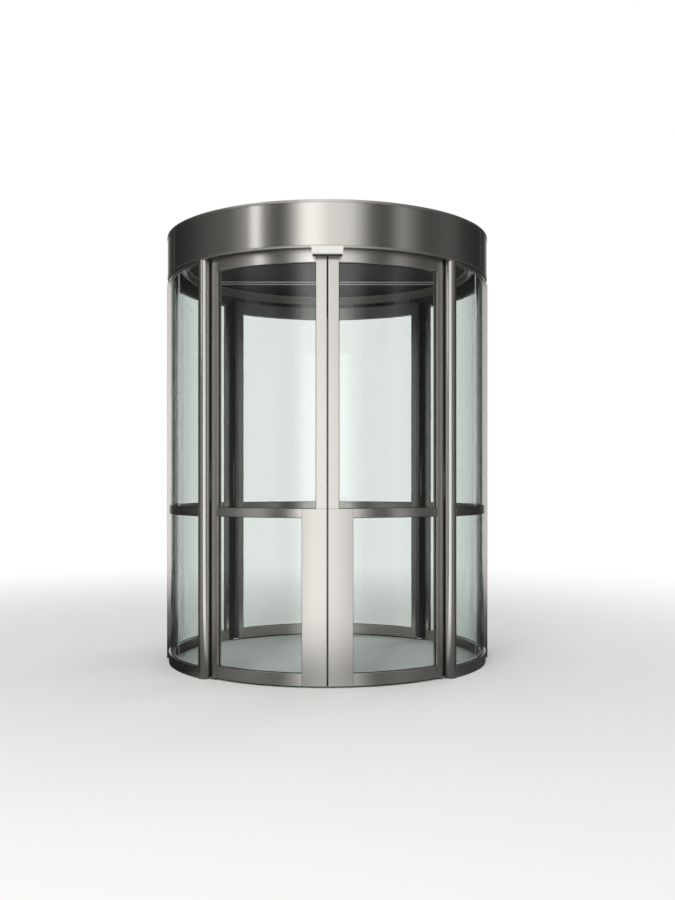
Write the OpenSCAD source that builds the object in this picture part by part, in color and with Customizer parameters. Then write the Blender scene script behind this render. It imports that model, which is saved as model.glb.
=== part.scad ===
// Circular sliding door: a round glass drum with a pair of curved sliding
// leaves at the front and another at the rear. Millimetres, +Z up, origin on
// the drum's axis at floor level, front towards -Y.
// An angle along the drum is measured from the front, towards +X.

/* [Drum] */
// Outside radius of the drum, at the fascia and the posts
drum_r = 1270; // [1150:1:1450]
// Height of the soffit above the floor
clear_h = 3000; // [2200:1:3200]
// Height of the fascia, from the soffit to the rim
fascia_h = 307; // [280:1:400]
// Thickness of the fascia sheet
fascia_t = 4; // [2:0.5:5]
// Angle of the fascia's upright joints from the front
fascia_joint_angle = 65; // [52:1:80]
// Gap between two sheets of the fascia
fascia_joint_gap = 3; // [2:0.5:6]
// Height of the lip under the fascia
lip_h = 12; // [8:1:20]
// How far the lip stands out past the fascia
lip_proud = 2; // [0:0.5:4]
// Height of the shadow gap between the lip and the fascia's sheets
lip_gap = 3; // [2:0.5:6]
// Height of the lip's upstand behind the sheets
upstand_h = 24; // [12:1:40]
// Thickness of that upstand
upstand_t = 3; // [2:0.5:4]
// Height of the rim round the roof
rim_h = 18; // [8:1:40]
// How far the rim stands out past the fascia
rim_proud = 3; // [0:1:8]
// Width of the rim seen from above
rim_w = 33; // [20:1:60]
// Thickness of the roof plate
roof_t = 6; // [3:1:12]

/* [Leaves] */
// How far the outer face of the leaves lies inside the drum's outside
leaf_set_in = 63; // [56:1:74]
// Thickness of a leaf's frame
leaf_t = 44; // [36:1:50]
// Gap along the drum between a closed leaf and its post
leaf_post_gap = 26; // [20:1:36]
// Gap between a leaf and the floor
leaf_floor_gap = 12.5; // [10:0.5:20]
// How far a leaf's top stands above the soffit
leaf_top_in = 20; // [14:1:30]
// Half of the gap between the two leaf frames at the seam
seam_half = 4.2; // [3.6:0.1:8]
// How far the rubber nose stands out of the meeting stile
nose_out = 1.6; // [0.5:0.1:1.9]
// Distance from each face of a leaf in to the rubber nose
nose_in = 8; // [4:1:14]
// Width of the meeting stile below the middle rail
wide_stile_w = 172; // [120:1:240]
// Width of the meeting stile above the middle rail
slim_stile_w = 74; // [50:1:110]
// Width of the stile at a leaf's other edge
back_stile_w = 51; // [35:1:90]
// Height of the bottom rail
bottom_rail_h = 85; // [70:1:140]
// Height of the middle rail's lower edge above the floor
mid_rail_z = 1167; // [900:1:1400]
// Height of the middle rail
mid_rail_h = 60; // [40:1:100]
// Height of the top rail below the soffit
top_rail_show = 85; // [50:1:140]
// Thickness of a leaf's glass
leaf_glass_t = 10; // [6:1:12]
// How far a pane reaches into its frame
glass_bite = 12; // [8:1:16]
// Gap between a pane and each side of its groove
groove_gap = 2; // [1:0.5:3]
// How far the brush strip reaches behind its post
brush_lap = 36; // [28:1:44]
// Thickness of the brush strip
brush_t = 14; // [8:1:20]
// Distance from a leaf's outer face in to the brush strip
brush_set_in = 3; // [0:0.5:6]
// Thickness of the brush under a leaf
sill_brush_t = 10; // [6:1:11]
// Distance from a leaf's inner face out to that brush
sill_brush_in = 3; // [0:0.5:4]
// Gap between that brush and the floor
sill_brush_gap = 3; // [1:0.5:6]

/* [Posts and side walls] */
// Radius of a post's round front
post_r = 44; // [38:1:50]
// Angle of a post from the front
post_angle = 46.2; // [42:0.1:50]
// Gap between a leaf's outer face and what it slides past
leaf_clear = 6; // [5:0.5:8]
// Thickness of the side walls' glass
side_glass_t = 12; // [8:1:14]
// Angle of the upright joint in the side walls' glass
side_joint_angle = 63; // [56:1:75]
// Gap between two panes at that joint
side_joint_gap = 4; // [2:0.5:8]
// Height of the plinth
plinth_h = 84; // [60:1:160]
// How far the plinth's face lies inside the drum's outside
plinth_set_in = 8; // [6:1:14]
// Width of the side walls' rails, across the glass
side_rail_w = 36; // [30:1:44]
// Height of the channel that holds the glass under the soffit
head_channel_h = 22; // [18:1:40]
// Size of the wall post along the drum
wall_post_d = 100; // [60:1:160]
// How far the wall post stands out past the drum
wall_post_out = 15; // [5:1:40]

/* [Head] */
// Thickness of the sheet soffit
soffit_t = 4; // [2:1:6]
// Thickness of the ring beam and of the plate on it
beam_t = 10; // [6:1:14]
// Gap between the ring beam and the lip's upstand
beam_gap = 1; // [0.5:0.5:4]
// Gap between a leaf's inner face and the ring that trims the passage
inner_ring_gap = 39; // [34:1:50]
// Thickness of that ring
inner_ring_t = 4; // [2:1:5]
// Height of that ring's lower edge above the soffit
inner_ring_rise = 45; // [38:1:60]
// Height of the ceiling above the soffit
ceiling_rise = 110; // [100:1:130]
// Thickness of the ceiling panels
ceiling_t = 4; // [3:1:10]
// Gap between the ceiling panels and the ring round them
ceiling_edge_gap = 2; // [1:0.5:5]
// Width of the ledge that the ceiling lies on
ledge_w = 14; // [10:1:30]
// Distance from the axis to the middle of each slot in the ceiling
ceiling_slot_y = 459; // [300:1:700]
// Clear width of a ceiling slot
ceiling_slot_w = 64; // [30:1:90]
// Width of the trims along a ceiling slot
slot_trim_w = 28; // [15:1:50]
// Thickness of those trims
slot_trim_t = 4; // [2:1:8]

/* [Track and carriages] */
// Height of the rail's top above the soffit
rail_rise = 92; // [84:1:104]
// Width of the rail that the rollers run on
rail_w = 8; // [6:1:9]
// Height of the rail above its shelf
rail_h = 12; // [10:1:14]
// Thickness of the track's shelf and of its hanger
track_t = 6; // [4:1:8]
// Width of the shelf outside the rail
shelf_lip = 4; // [2:1:8]
// Gap between the track's hanger and the ring that trims the passage
hanger_gap = 4; // [2:1:8]
// Distance from the leaf's middle line in to the rail's middle line
rail_inset = 24; // [21:1:28]
// Radius of a roller's tread
roller_r = 26; // [22:1:30]
// Width of a roller's tread
tread_w = 11; // [10:1:13]
// Height of a roller's flanges
flange_h = 5; // [3:1:7]
// Thickness of a roller's flanges
flange_t = 4; // [3:1:5]
// Radius of a roller's axle
axle_r = 7; // [5:1:10]
// Length of a carriage along the leaf
carriage_w = 150; // [140:1:200]
// Distance between a carriage's two rollers
roller_pitch = 84; // [72:1:100]
// Thickness of a carriage's plates
carriage_t = 8; // [5:1:12]
// Distance from each face of a leaf in to the carriage's foot
foot_in = 4; // [0:1:8]
// Distance from the leaf's middle line out to the carriage's upright
upright_out = 4; // [2:1:8]
// How far the upright stands above the rollers' axles
upright_over = 20; // [14:1:40]
// Distance from each edge of a leaf to the middle of the carriage there
carriage_in = 170; // [120:1:250]

/* [Floor guides] */
// Thickness of a floor guide's plate
guide_plate_t = 5; // [4:0.5:7]
// Thickness of a floor guide's tongue
guide_tongue_t = 8; // [6:0.5:10]
// Length of a floor guide's tongue
guide_tongue_w = 22; // [16:1:26]
// How far the tongue reaches up into a leaf's groove
guide_reach = 20; // [12:1:28]
// Distance from the tongue to the end of the closed leaf's groove
guide_end_gap = 10; // [6:1:16]
// Gap between the tongue and the groove
guide_gap = 2; // [1:0.5:3]
// Depth of the groove under a leaf
groove_d = 34; // [30:1:50]

/* [Sensors] */
// Width of a motion sensor's case at the top
sensor_w = 221; // [160:1:300]
// How much narrower the case is at the bottom
sensor_taper = 14; // [0:1:30]
// Height of the case
sensor_h = 57; // [40:1:80]
// How far the case covers the lip
sensor_lap = 7; // [3:1:11]
// How far the case stands out past the lip
sensor_proud = 18; // [8:1:40]
// Distance from the leaf's path out to the back of the case
sensor_back_gap = 4; // [2:1:12]
// Chamfer along the lower front edge of the case
sensor_chamfer = 6; // [2:1:12]
// Width of the case's edge round the window in its underside
window_edge = 4.5; // [2:0.5:15]
// Thickness of the window
window_t = 3; // [1:0.5:5]

/* [Hidden] */

$fn = 180;
seat = 0.3;                  // clearance where one curved piece seats on another
eps = 1;                     // overshoot of a cutting shape
eps_a = 1;                   // the same in degrees
half_turn = 180;
cut = 2 * drum_r;            // length of a cutting shape that takes all on one side

// Radii, from the outside in
leaf_r = drum_r - leaf_set_in;
leaf_mid_r = leaf_r - leaf_t / 2;
leaf_in_r = leaf_r - leaf_t;
side_in_r = leaf_r + leaf_clear;             // inner face of posts, side walls and soffit
side_r = (drum_r + side_in_r) / 2;           // middle line of the side walls' glass
post_c = drum_r - post_r;                    // radius at which a post's centre stands
sheet_in_r = drum_r - fascia_t - seat;       // what lies inside the fascia ends here
beam_r = sheet_in_r - upstand_t - beam_gap;
rail_r = leaf_mid_r - rail_inset;
inner_ring_r = leaf_in_r - inner_ring_gap - inner_ring_t;
hanger_r = leaf_in_r - inner_ring_gap + hanger_gap;
ledge_r = inner_ring_r - ledge_w;
brush_r = leaf_r - brush_set_in;
sensor_back_r = side_in_r + sensor_back_gap;
sensor_front_r = drum_r + lip_proud + sensor_proud;

// Heights
roof_z = clear_h + fascia_h;                 // underside of the rim
plate_z = roof_z - roof_t - beam_t;          // underside of the plate on the ring beam
leaf_top = clear_h + leaf_top_in;
top_rail_z = clear_h - top_rail_show;
glass_z0 = leaf_floor_gap + bottom_rail_h;
mid_top = mid_rail_z + mid_rail_h;
channel_z = clear_h - head_channel_h;
rail_z = clear_h + rail_rise;
shelf_top = rail_z - rail_h;
roller_z = rail_z + seat + roller_r;
ceiling_z = clear_h + ceiling_rise;
lip_top = clear_h + lip_h;
case_top = clear_h + sensor_lap;
case_z = case_top - sensor_h;

// Half width of the groove round a side wall's glass and round a leaf's
side_groove = side_glass_t / 2 + groove_gap;
leaf_groove = leaf_glass_t / 2 + groove_gap;

// Angle that an arc of the given length takes at a radius
function arc(len, r = leaf_r) = len / r * half_turn / PI;

// Half width of a post where the side walls' glass meets it
post_half = sqrt(pow(post_r, 2) - pow(side_r - post_c, 2));

// Angles along the drum
wall_angle = half_turn / 2;
post_edge_angle = post_angle - arc(post_r, post_c);
seam_angle = arc(seam_half);
leaf_end_angle = post_edge_angle - arc(leaf_post_gap);
brush_end_angle = post_edge_angle + arc(brush_lap);
glass_start_angle = post_angle + arc(post_half - glass_bite, side_r);
glass_end_angle = wall_angle - arc(wall_post_d / 2 - glass_bite, side_r);

// One turn or part of a turn of a plain ring
module ring(r0, r1, z0, z1, a0 = 0, a1 = 2 * half_turn) {
    rotate([0, 0, a0 - wall_angle])
        rotate_extrude(angle = a1 - a0)
            translate([r0, z0])
                square([r1 - r0, z1 - z0]);
}

// A whole turn of a section drawn in radius and height
module turned(points) {
    rotate_extrude()
        polygon(points);
}

// Puts what is drawn at the front right in its own corner of the drum
module corner(left = false, rear = false) {
    mirror_if([1, 0, 0], left)
        mirror_if([0, 1, 0], rear)
            children();
}

module mirror_if(axis, on) {
    if (on)
        mirror(axis) children();
    else
        children();
}

// Draws its children at the front and again at the rear
module front_and_rear() {
    children();
    mirror([0, 1, 0]) children();
}

// Stands its children on the drum at an angle, +X outwards
module at_angle(a, r = 0) {
    rotate([0, 0, a - wall_angle])
        translate([r, 0, 0])
            children();
}

// Post with a round front, cut flat behind so that the leaf passes
module post() {
    color("silver")
        difference() {
            at_angle(post_angle, post_c)
                cylinder(r = post_r, h = clear_h);
            at_angle(post_angle, side_in_r - cut)
                translate([0, -cut / 2, -eps])
                    cube([cut, cut, clear_h + 2 * eps]);
            side_glass_slot(glass_start_angle - arc(groove_gap, side_r),
                post_angle + arc(2 * post_r, side_r));
        }
}

// Groove that the side walls' glass stands in
module side_glass_slot(a0, a1) {
    ring(side_r - side_groove, side_r + side_groove, plinth_h - glass_bite,
        clear_h + eps, a0, a1);
}

// Upright box post where the drum is widest
module wall_post() {
    color("gainsboro")
        difference() {
            translate([side_in_r, -wall_post_d / 2, 0])
                cube([drum_r + wall_post_out - side_in_r, wall_post_d, clear_h]);
            front_and_rear()
                side_glass_slot(wall_angle - arc(wall_post_d, side_r),
                    glass_end_angle + arc(groove_gap, side_r));
        }
}

// Takes out of a side wall's piece what the two posts fill
module between_posts(h) {
    difference() {
        children();
        at_angle(post_angle, post_c)
            translate([0, 0, -eps])
                cylinder(r = post_r + seat, h = h + 2 * eps);
        translate([0, -wall_post_d / 2 - seat, -eps])
            cube([cut, wall_post_d + 2 * seat, h + 2 * eps]);
    }
}

// Low wall under the side glass
module plinth_part() {
    between_posts(plinth_h)
        difference() {
            ring(side_in_r, drum_r - plinth_set_in, 0, plinth_h, post_angle, wall_angle);
            side_glass_slot(post_angle - eps_a, wall_angle + eps_a);
        }
}

module plinth() {
    color("dimgray")
        front_and_rear() plinth_part();
}

// Middle rail and head channel of a side wall
module side_rail_part() {
    half = side_rail_w / 2;
    between_posts(clear_h)
        difference() {
            for (z = [[mid_rail_z, mid_top], [channel_z, clear_h - seat]])
                ring(side_r - half, side_r + half, z[0], z[1], post_angle, wall_angle);
            for (z = [[mid_rail_z - eps, mid_rail_z + glass_bite],
                    [mid_top - glass_bite, channel_z + glass_bite]])
                ring(side_r - side_groove, side_r + side_groove, z[0], z[1],
                    post_angle - eps_a, wall_angle + eps_a);
        }
}

module side_rail() {
    color("gray")
        front_and_rear() side_rail_part();
}

// Curved panes of one side wall: two below the middle rail and two above
module side_glass() {
    joint = arc(side_joint_gap / 2, side_r);
    heights = [
        [plinth_h - glass_bite + seat, mid_rail_z + glass_bite - seat],
        [mid_top - glass_bite + seat, channel_z + glass_bite - seat]
    ];
    angles = [
        [glass_start_angle, side_joint_angle - joint],
        [side_joint_angle + joint, glass_end_angle]
    ];
    color("lightblue", 0.4)
        for (z = heights)
            for (a = angles)
                ring(side_r - side_glass_t / 2, side_r + side_glass_t / 2,
                    z[0], z[1], a[0], a[1]);
}

// Sheet of the fascia between two upright joints
module fascia_sheet(a0, a1) {
    gap = arc(fascia_joint_gap / 2, drum_r);
    ring(drum_r - fascia_t, drum_r, lip_top + lip_gap, roof_z, a0 + gap, a1 - gap);
}

// Four sheets: front, rear and one at each side
module fascia() {
    color("silver") {
        front_and_rear()
            fascia_sheet(-fascia_joint_angle, fascia_joint_angle);
        for (left = [false, true])
            mirror_if([1, 0, 0], left)
                fascia_sheet(fascia_joint_angle, half_turn - fascia_joint_angle);
    }
}

// Lip under the fascia, with an upstand behind that the sheets are fixed to
module fascia_lip() {
    upstand_r = sheet_in_r - upstand_t;
    color("gainsboro")
        turned([
            [drum_r - fascia_t, clear_h], [drum_r + lip_proud, clear_h],
            [drum_r + lip_proud, lip_top], [sheet_in_r, lip_top],
            [sheet_in_r, lip_top + upstand_h], [upstand_r, lip_top + upstand_h],
            [upstand_r, clear_h + soffit_t], [drum_r - fascia_t, clear_h + soffit_t]
        ]);
}

module roof_rim() {
    color("gainsboro")
        ring(drum_r + rim_proud - rim_w, drum_r + rim_proud, roof_z, roof_z + rim_h);
}

module roof_plate() {
    color("lightgray")
        translate([0, 0, roof_z - roof_t])
            cylinder(r = sheet_in_r, h = roof_t);
}

// Visible underside of the head, outside the leaves
module soffit() {
    color("gray")
        ring(side_in_r, sheet_in_r, clear_h, clear_h + soffit_t);
}

// Rolled angle that carries the head: a foot on the soffit and an upright web
module ring_beam() {
    z0 = clear_h + soffit_t;
    color("slategray")
        turned([
            [side_in_r, z0], [beam_r, z0], [beam_r, plate_z],
            [beam_r - beam_t, plate_z], [beam_r - beam_t, z0 + beam_t],
            [side_in_r, z0 + beam_t]
        ]);
}

// Flat ring on the beam, from which the track and the inner ring hang
module head_plate() {
    color("slategray")
        ring(inner_ring_r, beam_r, plate_z, plate_z + beam_t);
}

module track_hanger() {
    color("slategray")
        ring(hanger_r, hanger_r + track_t, shelf_top, plate_z);
}

// Curved shelf with the rail that the rollers run on
module track_rail() {
    shelf_r = rail_r + rail_w / 2 + shelf_lip;
    color("lightsteelblue")
        turned([
            [hanger_r, shelf_top - track_t], [shelf_r, shelf_top - track_t],
            [shelf_r, shelf_top], [rail_r + rail_w / 2, shelf_top],
            [rail_r + rail_w / 2, rail_z], [rail_r - rail_w / 2, rail_z],
            [rail_r - rail_w / 2, shelf_top], [hanger_r, shelf_top]
        ]);
}

// Ring that trims the passage side of the head, with a ledge for the ceiling
module inner_ring() {
    outer = inner_ring_r + inner_ring_t;
    color("silver")
        turned([
            [inner_ring_r, clear_h + inner_ring_rise], [outer, clear_h + inner_ring_rise],
            [outer, plate_z], [inner_ring_r, plate_z],
            [inner_ring_r, ceiling_z], [ledge_r, ceiling_z],
            [ledge_r, ceiling_z - inner_ring_t], [inner_ring_r, ceiling_z - inner_ring_t]
        ]);
}

// Three ceiling panels that lie on the ledge, with a slot between each two
module ceiling() {
    color("darkgray")
        translate([0, 0, ceiling_z])
            difference() {
                cylinder(r = inner_ring_r - ceiling_edge_gap, h = ceiling_t);
                front_and_rear()
                    translate([-cut / 2, ceiling_slot_y - ceiling_slot_w / 2, -eps])
                        cube([cut, ceiling_slot_w, ceiling_t + 2 * eps]);
            }
}

// Pale trims under the panels' edges, along both sides of each slot
module ceiling_trims() {
    half = ceiling_slot_w / 2;
    color("white")
        front_and_rear()
            for (y = [ceiling_slot_y - half - slot_trim_w, ceiling_slot_y + half])
                intersection() {
                    translate([0, 0, ceiling_z - slot_trim_t])
                        cylinder(r = ledge_r - seat, h = slot_trim_t);
                    translate([-cut / 2, y, ceiling_z - slot_trim_t - eps])
                        cube([cut, slot_trim_w, slot_trim_t + 2 * eps]);
                }
}

// Plate at a post's foot with a tongue that guides the leaf's lower edge
module floor_guide() {
    tongue_in_r = leaf_mid_r - guide_tongue_t / 2;
    a0 = leaf_end_angle - arc(guide_end_gap + guide_tongue_w);
    a1 = leaf_end_angle - arc(guide_end_gap);
    ring(tongue_in_r, tongue_in_r + guide_tongue_t, 0, leaf_floor_gap + guide_reach, a0, a1);
    ring(tongue_in_r, side_in_r - seat, 0, guide_plate_t, a0, post_angle);
}

module floor_guides() {
    color("dimgray")
        for (left = [false, true])
            for (rear = [false, true])
                corner(left, rear) floor_guide();
}

// Case of a motion sensor: narrower at the bottom, its front part over the lip
module sensor_case() {
    top_half = sensor_w / 2;
    low_half = top_half - sensor_taper / 2;
    lip_r = drum_r + lip_proud + seat;
    color("whitesmoke")
        difference() {
            intersection() {
                translate([0, -sensor_back_r, 0])
                    rotate([90, 0, 0])
                        linear_extrude(sensor_front_r - sensor_back_r)
                            polygon([
                                [-low_half, case_z], [low_half, case_z],
                                [top_half, case_top], [-top_half, case_top]
                            ]);
                translate([-sensor_w, 0, 0])
                    rotate([90, 0, 90])
                        linear_extrude(2 * sensor_w)
                            polygon([
                                [-sensor_back_r, case_z], [-sensor_back_r, clear_h],
                                [-lip_r, clear_h], [-lip_r, case_top],
                                [-sensor_front_r, case_top],
                                [-sensor_front_r, case_z + sensor_chamfer],
                                [sensor_chamfer - sensor_front_r, case_z]
                            ]);
            }
            sensor_window(seat);
        }
}

// Dark window let into the underside of the case, made larger all round by grow
module sensor_window(grow = 0) {
    edge = window_edge - grow;
    back_r = sensor_back_r + edge;
    front_r = sensor_front_r - sensor_chamfer - edge;
    width = sensor_w - sensor_taper - 2 * edge;
    color("black")
        translate([-width / 2, -front_r, case_z - grow])
            cube([width, front_r - back_r, window_t + 2 * grow]);
}

// Welded frame of a curved leaf, with a pane above and below its middle rail
module leaf_frame() {
    color("silver")
        difference() {
            ring(leaf_in_r, leaf_r, leaf_floor_gap, leaf_top, seam_angle, leaf_end_angle);
            leaf_openings(0, leaf_in_r - eps, leaf_r + eps);
            leaf_openings(glass_bite, leaf_mid_r - leaf_groove, leaf_mid_r + leaf_groove);
            ring(leaf_mid_r - guide_tongue_t / 2 - guide_gap,
                leaf_mid_r + guide_tongue_t / 2 + guide_gap,
                leaf_floor_gap - eps, leaf_floor_gap + groove_d,
                seam_angle - eps_a, leaf_end_angle + eps_a);
        }
}

// The two openings of a leaf, each made larger all round by the given amount
module leaf_openings(grow, r0, r1) {
    back_a = leaf_end_angle - arc(back_stile_w - grow);
    ring(r0, r1, glass_z0 - grow, mid_rail_z + grow,
        arc(seam_half + wide_stile_w - grow), back_a);
    ring(r0, r1, mid_top - grow, top_rail_z + grow,
        arc(seam_half + slim_stile_w - grow), back_a);
}

module leaf_glass() {
    color("lightblue", 0.4)
        leaf_openings(glass_bite - seat, leaf_mid_r - leaf_glass_t / 2,
            leaf_mid_r + leaf_glass_t / 2);
}

// Rubber nose at the seam, brush strip behind the post and brush over the floor
module leaf_seals() {
    sill_brush_r = leaf_in_r + sill_brush_in;
    color("black") {
        ring(sill_brush_r, sill_brush_r + sill_brush_t, sill_brush_gap, leaf_floor_gap,
            seam_angle, leaf_end_angle);
        ring(leaf_in_r + nose_in, leaf_r - nose_in, leaf_floor_gap, leaf_top,
            arc(seam_half - nose_out), seam_angle);
        ring(brush_r - brush_t, brush_r, leaf_floor_gap, leaf_top,
            leaf_end_angle, brush_end_angle);
    }
}

// Roller with two flanges, its axle along the drum's radius
module roller() {
    rotate([0, 90, 0]) {
        translate([0, 0, -tread_w / 2])
            cylinder(r = roller_r, h = tread_w);
        for (side = [-1, 1])
            translate([0, 0, side * (tread_w + flange_t) / 2 - flange_t / 2])
                cylinder(r = roller_r + flange_h, h = flange_t);
    }
}

// Bracket that stands on the leaf's top rail and holds two rollers on the rail
module carriage(a) {
    half = arc(carriage_w / 2);
    upright_r = leaf_mid_r + upright_out;
    color("gray") {
        ring(leaf_in_r + foot_in, leaf_r - foot_in, leaf_top, leaf_top + carriage_t,
            a - half, a + half);
        ring(upright_r, upright_r + carriage_t, leaf_top, roller_z + upright_over,
            a - half, a + half);
        for (side = [-1, 1])
            at_angle(a + side * arc(roller_pitch / 2))
                translate([rail_r, 0, roller_z]) {
                    roller();
                    rotate([0, 90, 0])
                        cylinder(r = axle_r, h = upright_r + carriage_t / 2 - rail_r);
                }
    }
}

module leaf_carriages() {
    carriage(seam_angle + arc(carriage_in));
    carriage(leaf_end_angle - arc(carriage_in));
}

corner(true, false) post();  // post_front_left
corner(false, false) post();  // post_front_right
corner(true, true) post();  // post_rear_left
corner(false, true) post();  // post_rear_right
corner(true) wall_post();  // wall_post_left
corner() wall_post();  // wall_post_right
corner(true) plinth();  // plinth_left
corner() plinth();  // plinth_right
corner(true) side_rail();  // side_rail_left
corner() side_rail();  // side_rail_right
corner(true, false) side_glass();  // side_glass_front_left
corner(false, false) side_glass();  // side_glass_front_right
corner(true, true) side_glass();  // side_glass_rear_left
corner(false, true) side_glass();  // side_glass_rear_right
fascia();
fascia_lip();
roof_rim();
roof_plate();
soffit();
ring_beam();
head_plate();
track_hanger();
track_rail();
inner_ring();
ceiling();
ceiling_trims();
floor_guides();
front_and_rear() sensor_case();  // sensor_cases
front_and_rear() sensor_window();  // sensor_windows
corner(true, false) leaf_frame();  // front_left_frame
corner(true, false) leaf_glass();  // front_left_glass
corner(true, false) leaf_seals();  // front_left_seals
corner(true, false) leaf_carriages();  // front_left_carriages
corner(false, false) leaf_frame();  // front_right_frame
corner(false, false) leaf_glass();  // front_right_glass
corner(false, false) leaf_seals();  // front_right_seals
corner(false, false) leaf_carriages();  // front_right_carriages
corner(true, true) leaf_frame();  // rear_left_frame
corner(true, true) leaf_glass();  // rear_left_glass
corner(true, true) leaf_seals();  // rear_left_seals
corner(true, true) leaf_carriages();  // rear_left_carriages
corner(false, true) leaf_frame();  // rear_right_frame
corner(false, true) leaf_glass();  // rear_right_glass
corner(false, true) leaf_seals();  // rear_right_seals
corner(false, true) leaf_carriages();  // rear_right_carriages
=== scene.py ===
"""Looks of a round stainless steel and glass entrance drum with curved sliding leaves.

Laid out as an add-on: sizes and colours in property groups, one operator for each group
of like pieces, and a panel that lists them. Angles along the drum are measured from the
front, towards +X, and lengths are in metres.
"""

import math
from collections import namedtuple

import bmesh
import bpy
from bpy.props import FloatProperty, FloatVectorProperty, IntProperty, PointerProperty, StringProperty
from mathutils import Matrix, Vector


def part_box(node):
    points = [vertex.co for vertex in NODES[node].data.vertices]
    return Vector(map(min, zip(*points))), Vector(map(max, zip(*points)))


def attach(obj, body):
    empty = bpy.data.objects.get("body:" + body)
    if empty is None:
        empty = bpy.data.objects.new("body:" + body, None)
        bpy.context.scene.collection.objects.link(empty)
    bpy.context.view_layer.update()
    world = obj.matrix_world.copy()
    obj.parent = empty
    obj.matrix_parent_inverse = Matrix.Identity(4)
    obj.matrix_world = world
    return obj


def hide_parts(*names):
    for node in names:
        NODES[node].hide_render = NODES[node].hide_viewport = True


bl_info = {
    "name": "Circular Sliding Door",
    "version": (1, 0, 0),
    "blender": (4, 5, 0),
    "location": "View3D > Sidebar > Door",
    "description": "Finishes, glazing trims and studio for a circular sliding door",
    "category": "Object",
}

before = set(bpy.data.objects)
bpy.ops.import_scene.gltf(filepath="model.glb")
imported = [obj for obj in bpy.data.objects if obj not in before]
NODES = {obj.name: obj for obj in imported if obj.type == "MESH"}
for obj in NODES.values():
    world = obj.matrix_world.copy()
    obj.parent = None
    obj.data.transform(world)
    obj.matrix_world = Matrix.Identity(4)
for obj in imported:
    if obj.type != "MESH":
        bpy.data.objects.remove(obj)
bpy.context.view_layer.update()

MM = 0.001
CORNERS = ("front_left", "front_right", "rear_left", "rear_right")
UP = (0.0, 0.0, 1.0)
# Steps of a piece that is curved along the drum, and the least angle of an edge that stays sharp
FACET = math.radians(1.5)
SHARP = math.radians(30)
# Decimals of a metre to which two points count as one
DECIMALS = 5
# Share by which a fine grain, and a zinc crystal, change the roughness
GRAIN_SPREAD = 0.15
CRYSTAL_SPREAD = 0.2

# The grey of the studio screen that the steel mirrors, by azimuth in degrees from the front
# towards +X: bright ahead and dark at the sides
FRONT_GREYS = (
    (-104, "#303030"), (-85, "#484848"), (-66, "#545454"), (-56, "#808080"), (-46, "#707070"),
    (-34, "#303030"), (-27, "#484848"), (-21, "#A0A0A0"), (-15, "#F8F8F8"), (-7, "#F8F8F8"),
    (0, "#D2D2D2"), (14, "#CCCCCC"), (20, "#A8A8A8"), (28, "#4C4C4C"), (40, "#2C2C2C"),
    (49, "#8C8C8C"), (56, "#686868"), (66, "#3C3C3C"), (90, "#4C4C4C"), (104, "#303030"),
)
# Behind it is the same on both sides: dark, and bright in the middle
REAR_GREYS = ((126, "#202020"), (146, "#303030"), (158, "#C0C0C0"), (180, "#D0D0D0"))
# The grey of the floor close to the drum: dark beside the walls, most of all on the left
NEAR_FRONT_GREYS = (
    (-60, "#1C1C1C"), (-47, "#505050"), (-38, "#505050"), (-28, "#4A4A4A"), (-18, "#505050"),
    (-9, "#7E7E7E"), (0, "#949494"), (9, "#7E7E7E"), (18, "#505050"), (28, "#4A4A4A"),
    (38, "#4C4C4C"), (47, "#484848"), (60, "#343434"), (90, "#303030"),
)
NEAR_REAR_GREYS = ((120, "#1C1C1C"), (133, "#505050"), (142, "#505050"), (152, "#4A4A4A"),
                   (162, "#505050"), (171, "#7E7E7E"), (180, "#949494"))


# Reading the frame

# The ranges of a solid's radius, its angle from the nearer of front and rear, and its height
Solid = namedtuple("Solid", ("radius", "angle", "height"))


def span(values):
    values = list(values)
    return min(values), max(values)


def solids(node):
    """The separate solids of a node, told apart by the edges that join their points."""
    mesh = NODES[node].data
    keys = [tuple(round(c, DECIMALS) for c in v.co) for v in mesh.vertices]
    head = {key: key for key in keys}

    def root(key):
        while head[key] != key:
            head[key] = head[head[key]]
            key = head[key]
        return key

    for edge in mesh.edges:
        one, other = (root(keys[i]) for i in edge.vertices)
        head[one] = other
    groups = {}
    for key in head:
        groups.setdefault(root(key), []).append(key)
    return [
        Solid(span(math.hypot(x, y) for x, y, z in group),
              span(math.atan2(abs(x), abs(y)) for x, y, z in group),
              span(z for x, y, z in group))
        for group in groups.values()
    ]


def corner_angle(corner, a):
    """The drum angle of a point that lies at angle a in a corner of the drum."""
    turned = a if corner.endswith("right") else -a
    return turned if corner.startswith("front") else math.pi - turned


FASCIA = solids("fascia")
LEAF_FRAME = solids("front_right_frame")[0]
LEAF_PANES = sorted(solids("front_right_glass"), key=lambda pane: pane.height)
SIDE_PANES = solids("side_glass_front_right")
SEALS = solids("front_right_seals")

DRUM_R = max(sheet.radius[1] for sheet in FASCIA)
SHEET_IN_R = min(sheet.radius[0] for sheet in FASCIA)
ROOF_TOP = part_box("roof_plate")[1].z
LEAF_R = LEAF_FRAME.radius[1]


# Colour and node helpers

def linear(colour):
    """Linear RGBA of an sRGB hex colour such as #C8C8C8."""
    parts = [int(colour[i:i + 2], 16) / 255 for i in (1, 3, 5)]
    return [p / 12.92 if p <= 0.04045 else ((p + 0.055) / 1.055) ** 2.4 for p in parts] + [1.0]


def add(tree, kind, inputs=None, **settings):
    """Adds a node of a kind, its type without the word ShaderNode, with its settings. An input
    is a value, the socket that feeds it, or a node whose first output does."""
    node = tree.nodes.new("ShaderNode" + kind)
    for key, value in settings.items():
        setattr(node, key, value)
    for key, value in (inputs or {}).items():
        if isinstance(value, bpy.types.Node):
            value = value.outputs[0]
        if isinstance(value, bpy.types.NodeSocket):
            tree.links.new(value, node.inputs[key])
        else:
            node.inputs[key].default_value = value
    return node


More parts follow.
